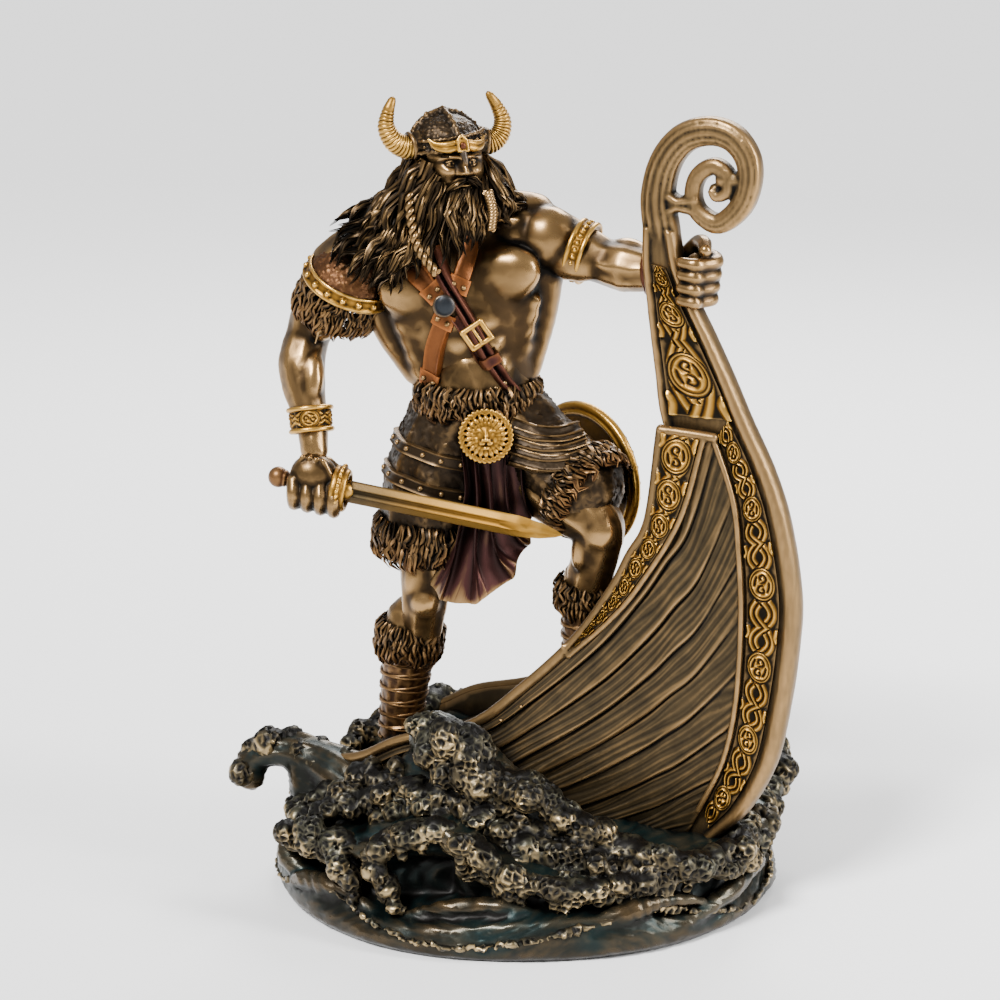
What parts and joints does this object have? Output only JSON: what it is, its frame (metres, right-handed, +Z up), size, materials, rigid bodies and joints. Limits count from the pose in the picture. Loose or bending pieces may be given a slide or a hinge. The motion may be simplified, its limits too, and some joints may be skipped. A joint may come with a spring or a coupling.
{
  "type": "viking warrior statue",
  "caption": "Cold-cast bronze figurine of a bearded warrior in a horned helmet, sword in hand, standing in a longship prow on a base of breaking waves.",
  "frame": {"origin": "middle of the flat underside of the wave base", "axes": "+Z up along the figure's height, +X towards the warrior's left and the prow, -Y towards the front"},
  "size_m": [0.201, 0.1512, 0.2798],
  "materials": {
    "antique_bronze": "cold-cast bronze powder in resin, brown antique patina in the hollows, rubbed to a golden sheen on the high spots",
    "golden_bronze": "brassy gold highlight paint rubbed over the bronze, dark in the engraving",
    "plank_bronze": "brown bronze with carved wood grain, dark in the grain",
    "sea_patina": "near-black bronze with a blue-green tint, pale gold on the foam's rims",
    "leather_paint": "reddish brown paint over the bronze, worn to bronze at the edges",
    "cloth_paint": "dark purple-brown paint over the bronze, golden on the folds",
    "steel_paint": "blue-black steel paint"
  },
  "bodies": {
    "root": {"viking_statue": "antique_bronze"}
  },
  "joints": []
}
